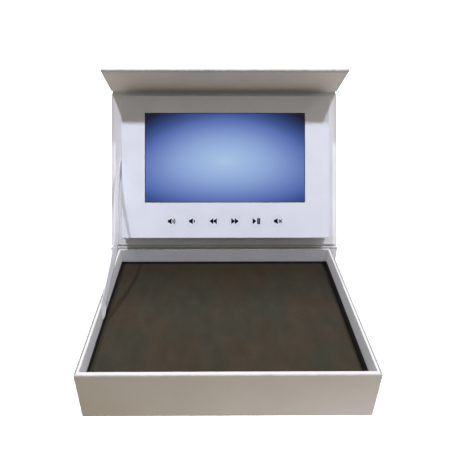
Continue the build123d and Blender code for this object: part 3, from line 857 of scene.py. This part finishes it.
def add_arc(mesh, radius, line):
    """A sound wave of a sign, in millimetres."""
    centre = 0.2
    ends = [mesh.verts.new(((centre + r * cos(-pi / 4)) * MM, r * sin(-pi / 4) * MM, 0))
            for r in (radius, radius + line)]
    edge = mesh.edges.new(ends)
    bmesh.ops.spin(mesh, geom=[edge, *ends], cent=(centre * MM, 0, 0), axis=(0, 0, 1), angle=pi / 2, steps=10)


def add_speaker(mesh, x):
    """The loudspeaker of a sign, its flat front at x."""
    outline = ((-3.7, -1.3), (-2.6, -1.3), (0, -2.9), (0, 2.9), (-2.6, 1.3), (-3.7, 1.3))
    add_shape(mesh, [(x + across, up) for across, up in outline])


def add_arrow(mesh, tip, back):
    """A triangle of a sign."""
    add_shape(mesh, [(tip, 0), (back, 3.0), (back, -3.0)][:: 1 if tip < back else -1])


def add_bar(mesh, x, turn=0.0, height=5.8, width=1.35):
    """A bar of a sign, upright or turned."""
    made = bmesh.ops.create_grid(mesh, x_segments=1, y_segments=1, size=0.5)["verts"]
    bmesh.ops.scale(mesh, vec=(width * MM, height * MM, 1), verts=made)
    bmesh.ops.rotate(mesh, cent=(0, 0, 0), matrix=Matrix.Rotation(turn, 3, "Z"), verts=made)
    bmesh.ops.translate(mesh, vec=(x * MM, 0, 0), verts=made)


# The sign on each button, as the shapes that it is drawn from, flat round the origin
SIGNS = {
    "volume_up": ((add_speaker, 0.6), (add_arc, 1.3, 1.1), (add_arc, 3.1, 0.9)),
    "volume_down": ((add_speaker, 0.6), (add_arc, 1.3, 1.1)),
    "rewind": ((add_arrow, -4.0, -0.2), (add_arrow, -0.6, 3.2)),
    "forward": ((add_arrow, 0.4, -3.4), (add_arrow, 3.9, 0.1)),
    "play_pause": ((add_arrow, 0.5, -3.2), (add_bar, 1.9), (add_bar, 3.4)),
    "mute": ((add_speaker, 0.6), (add_bar, 3.1, pi / 4, 4.2, 1.0), (add_bar, 3.1, -pi / 4, 4.2, 1.0)),
}


class VIDEOBOX_OT_signs(bpy.types.Operator):
    """Print a sign on each of the six buttons"""

    bl_idname = "videobox.signs"
    bl_label = "Button signs"

    def execute(self, context):
        screen = context.scene.video_box.screen
        material, lift = ink(screen.ink), 0.005 * MM
        for name, shapes in SIGNS.items():
            low, high = measure("button_" + name)
            mesh = bmesh.new()
            for add, *sizes in shapes:
                add(mesh, *sizes)
            carry(mesh, bmesh.ops.extrude_face_region(mesh, geom=mesh.faces[:]), (0, 0, screen.ink_thickness))
            spot = Matrix.Translation(((low.x + high.x) / 2, (low.y + high.y) / 2, high.z + lift))
            bmesh.ops.transform(mesh, matrix=LID @ spot, verts=mesh.verts[:])
            piece = finished(mesh, "sign_" + name, material)
            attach(piece, "button_" + name)
        return {"FINISHED"}


# ------------------------------------------------------------------ ribbon


class VIDEOBOX_OT_ribbon(bpy.types.Operator):
    """Hang the slack satin ribbon between the tray and the screen block"""

    bl_idname = "videobox.ribbon"
    bl_label = "Ribbon"

    def execute(self, context):
        ribbon = context.scene.video_box.ribbon
        foot = Vector((-102.15, -3.2, 40)) * MM
        head = LID @ (Vector((-99.75, 84, 6.5)) * MM)
        run = head - foot
        tab, tab_rows, rows, columns = 11.5 * MM, 12, 72, 6
        down_wall = Vector((0, 0.25 * tab, tab))
        rounding_starts, rounding, least_share = 0.6, 0.42, 0.12

        def centre(t):
            """A point of the ribbon's middle line: up the wall from -1 to 0, then through the air to the block."""
            if t < 0:
                return foot + down_wall * t
            swing = ribbon.bow * sin(pi * t) + ribbon.wave * sin(2 * pi * t) + ribbon.flutter * sin(3 * pi * t)
            return foot + run * t + Vector((swing, 0, 0))

        def share(t):
            """The part of the full width at a point: 1, and less in the rounded lower end."""
            if t > -rounding_starts:
                return 1
            return max(least_share, (1 - ((-t - rounding_starts) / rounding) ** 2) ** 0.5)

        steps = [-1 + i / tab_rows for i in range(tab_rows)]
        steps += [i / (rows - tab_rows) for i in range(rows - tab_rows + 1)]
        points = [centre(t) for t in steps]
        length, at, places = 0.0, [0.0], {}
        for a, b in zip(points, points[1:]):
            length += (b - a).length
            at.append(length)
        mesh = bmesh.new()
        bmesh.ops.create_grid(mesh, x_segments=columns, y_segments=rows, size=0.5)
        layer = mesh.loops.layers.uv.new("UVMap")
        for vertex in mesh.verts:
            across, row = vertex.co.x, round((vertex.co.y + 0.5) * rows)
            before, after = points[max(row - 1, 0)], points[min(row + 1, rows)]
            along = (after - before).normalized()
            side = Vector((0, along.z, -along.y)).normalized()
            side.rotate(Quaternion(along, -ribbon.twist * sin(pi * max(steps[row], 0))))
            places[vertex] = (across * ribbon.width, at[row])
            vertex.co = points[row] + side * (across * ribbon.width * share(steps[row]))
        for face in mesh.faces:
            for loop in face.loops:
                loop[layer].uv = places[loop.vert]
        piece = finished(mesh, "ribbon_stay", satin(ribbon.colour), 60)
        thick = piece.modifiers.new("thickness", "SOLIDIFY")
        thick.thickness = ribbon.thickness
        thick.offset = 0
        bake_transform(piece)
        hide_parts("ribbon")
        return {"FINISHED"}


# ------------------------------------------------------------------ inner parts


class VIDEOBOX_OT_inner_parts(bpy.types.Operator):
    """Finish the boards, cell, speaker, cables and magnets inside the card"""

    bl_idname = "videobox.inner_parts"
    bl_label = "Inner parts"

    def execute(self, context):
        dress(circuit(), "main_board", "button_board")
        dress(moulded("black_plastic", (0.02, 0.02, 0.022), 0.5), "hall_sensor", "speaker", "tact_switches")
        dress(drawn_metal("socket_steel", (0.62, 0.62, 0.63), 0.28), "charging_socket", "catch_plates")
        dress(drawn_metal("plated_steel", (0.55, 0.56, 0.57), 0.3), "flap_magnets", "trigger_magnet")
        dress(pouch_foil(), "battery")
        dress(flat_cable(), "display_flex", "button_flex")
        return {"FINISHED"}


# ------------------------------------------------------------------ stage


def floor_material():
    """Floor: white to the camera; what it throws back on the box is warm in front and cooler behind it."""
    material, tree, shader = new_material("studio_floor", 0.9)
    seen = add_node(tree, "LightPath").outputs["Is Camera Ray"]
    where = object_coordinates(tree)
    parts = parts_of(tree, where)
    left_to_right = spread(tree, parts["X"], -0.15, 0.15, 0.0, 1.0)
    towards_box = spread(tree, parts["Y"], -0.22, -0.12, 0.0, 1.0)
    behind = spread(tree, parts["Y"], -0.02, 0.0, 0.0, 1.0)
    away = spread(tree, length_of(tree, where), 0.4, 1.0, 0.0, 1.0)
    near = mixed(tree, left_to_right, (0.35, 0.26, 0.11), (1.0, 0.89, 0.84))
    far = mixed(tree, left_to_right, (0.44, 0.39, 0.38), (0.34, 0.27, 0.10))
    thrown = mixed(tree, behind, mixed(tree, towards_box, far, near), (0.72, 0.68, 0.70))
    shown = mixed(tree, away, (0.35, 0.35, 0.35), (1.0, 1.0, 1.0))
    feed(tree, shader, Base_Color=mixed(tree, seen, (0, 0, 0), (0.82, 0.82, 0.82)),
         Emission_Color=mixed(tree, seen, thrown, shown), Emission_Strength=1, Specular_IOR_Level=0)
    return material


def studio_world(strength):
    """Soft room light: bright overhead, dim and cool at eye level, white where the camera sees it."""
    world = bpy.data.worlds.new("studio")
    world.use_nodes = True
    tree = world.node_tree
    parts = parts_of(tree, add_node(tree, "TexCoord").outputs["Generated"])
    to_right, to_back = (spread(tree, parts[axis], -0.3, 0.3, 0.0, 1.0) for axis in "XY")
    overhead = spread(tree, parts["Z"], 0.40, 0.80, 0.0, 1.0)
    front = mixed(tree, to_right, (0.06, 0.062, 0.06), (0.085, 0.10, 0.115))
    level = mixed(tree, to_back, front, (0.10, 0.10, 0.11))
    room = mixed(tree, overhead, level, (0.58, 0.55, 0.48))
    seen = add_node(tree, "LightPath").outputs["Is Camera Ray"]
    feed(tree, tree.nodes["Background"], Color=mixed(tree, seen, room, (1.0, 1.0, 1.0)), Strength=strength)
    return world


class VIDEOBOX_OT_stage(bpy.types.Operator):
    """Set up the floor, the studio lights, the room light and the camera"""

    bl_idname = "videobox.stage"
    bl_label = "Stage"

    def execute(self, context):
        scene = context.scene
        stage = scene.video_box.stage
        floor_reach, below_box = 9, 0.05 * MM
        mesh = bmesh.new()
        bmesh.ops.create_grid(mesh, x_segments=1, y_segments=1, size=floor_reach)
        data = bpy.data.meshes.new("studio_floor")
        mesh.to_mesh(data)
        mesh.free()
        data.materials.append(floor_material())
        floor = bpy.data.objects.new("studio_floor", data)
        floor.location.z = -below_box
        scene.collection.objects.link(floor)

        target = Vector((0, 0.02, 0.08))
        # Each lamp's direction from the box, its distance and width in metres, its watts and its colour
        lamps = (
            ("lamp_left", (-0.2837, -0.0700, 0.9547), 3.14, 0.165, 62.0, (0.84, 0.865, 1.0)),
            ("lamp_right", (0.3388, -0.0716, 0.9359), 3.15, 0.165, 62.6, (0.84, 0.86, 1.0)),
            ("lamp_rear", (0.0, 0.5072, 0.8619), 3.03, 0.165, 17.0, (1.0, 0.985, 0.86)),
            ("lamp_side", (0.7004, -0.0736, 0.7100), 4.16, 0.22, 11.5, (1.0, 1.0, 1.0)),
        )
        for name, direction, distance, size, power, colour in lamps:
            light = bpy.data.lights.new(name, "AREA")
            light.shape = "DISK"
            light.size = size
            light.energy = power * stage.light
            light.color = colour
            lamp = bpy.data.objects.new(name, light)
            lamp.location = target + Vector(direction).normalized() * distance
            lamp.rotation_euler = Vector(direction).to_track_quat("Z", "Y").to_euler()
            scene.collection.objects.link(lamp)

        scene.world = studio_world(stage.light)
        camera = bpy.data.cameras.new("camera")
        camera.sensor_width = 36
        camera.lens = stage.lens
        camera.shift_x, camera.shift_y = stage.shift
        camera.clip_start = 0.01
        view = bpy.data.objects.new("camera", camera)
        view.location = stage.eye
        view.rotation_euler = stage.turn
        scene.collection.objects.link(view)
        scene.camera = view
        scene.view_settings.view_transform = "Standard"
        return {"FINISHED"}


# ------------------------------------------------------------------ panel and registration

OPERATORS = (
    VIDEOBOX_OT_card,
    VIDEOBOX_OT_side_wraps,
    VIDEOBOX_OT_hinge_papers,
    VIDEOBOX_OT_crease_paper,
    VIDEOBOX_OT_block_wrap,
    VIDEOBOX_OT_pad,
    VIDEOBOX_OT_screen,
    VIDEOBOX_OT_signs,
    VIDEOBOX_OT_ribbon,
    VIDEOBOX_OT_inner_parts,
    VIDEOBOX_OT_stage,
)


class VIDEOBOX_PT_sidebar(bpy.types.Panel):
    """Lists the steps that dress the box"""

    bl_idname = "VIDEOBOX_PT_sidebar"
    bl_label = "Video Box"
    bl_space_type = "VIEW_3D"
    bl_region_type = "UI"
    bl_category = "Video Box"

    def draw(self, context):
        column = self.layout.column()
        for operator in OPERATORS:
            column.operator(operator.bl_idname)


CLASSES = (VideoBoxCard, VideoBoxPad, VideoBoxScreen, VideoBoxRibbon, VideoBoxStage, VideoBoxSettings,
           *OPERATORS, VIDEOBOX_PT_sidebar)


def register():
    for kind in CLASSES:
        bpy.utils.register_class(kind)
    bpy.types.Scene.video_box = bpy.props.PointerProperty(type=VideoBoxSettings)


def unregister():
    del bpy.types.Scene.video_box
    for kind in reversed(CLASSES):
        bpy.utils.unregister_class(kind)


def main():
    register()
    bpy.ops.videobox.card()
    bpy.ops.videobox.side_wraps()
    bpy.ops.videobox.hinge_papers()
    bpy.ops.videobox.crease_paper()
    bpy.ops.videobox.block_wrap()
    bpy.ops.videobox.pad()
    bpy.ops.videobox.screen()
    bpy.ops.videobox.signs()
    bpy.ops.videobox.ribbon()
    bpy.ops.videobox.inner_parts()
    bpy.ops.videobox.stage()


if __name__ == "__main__":
    main()
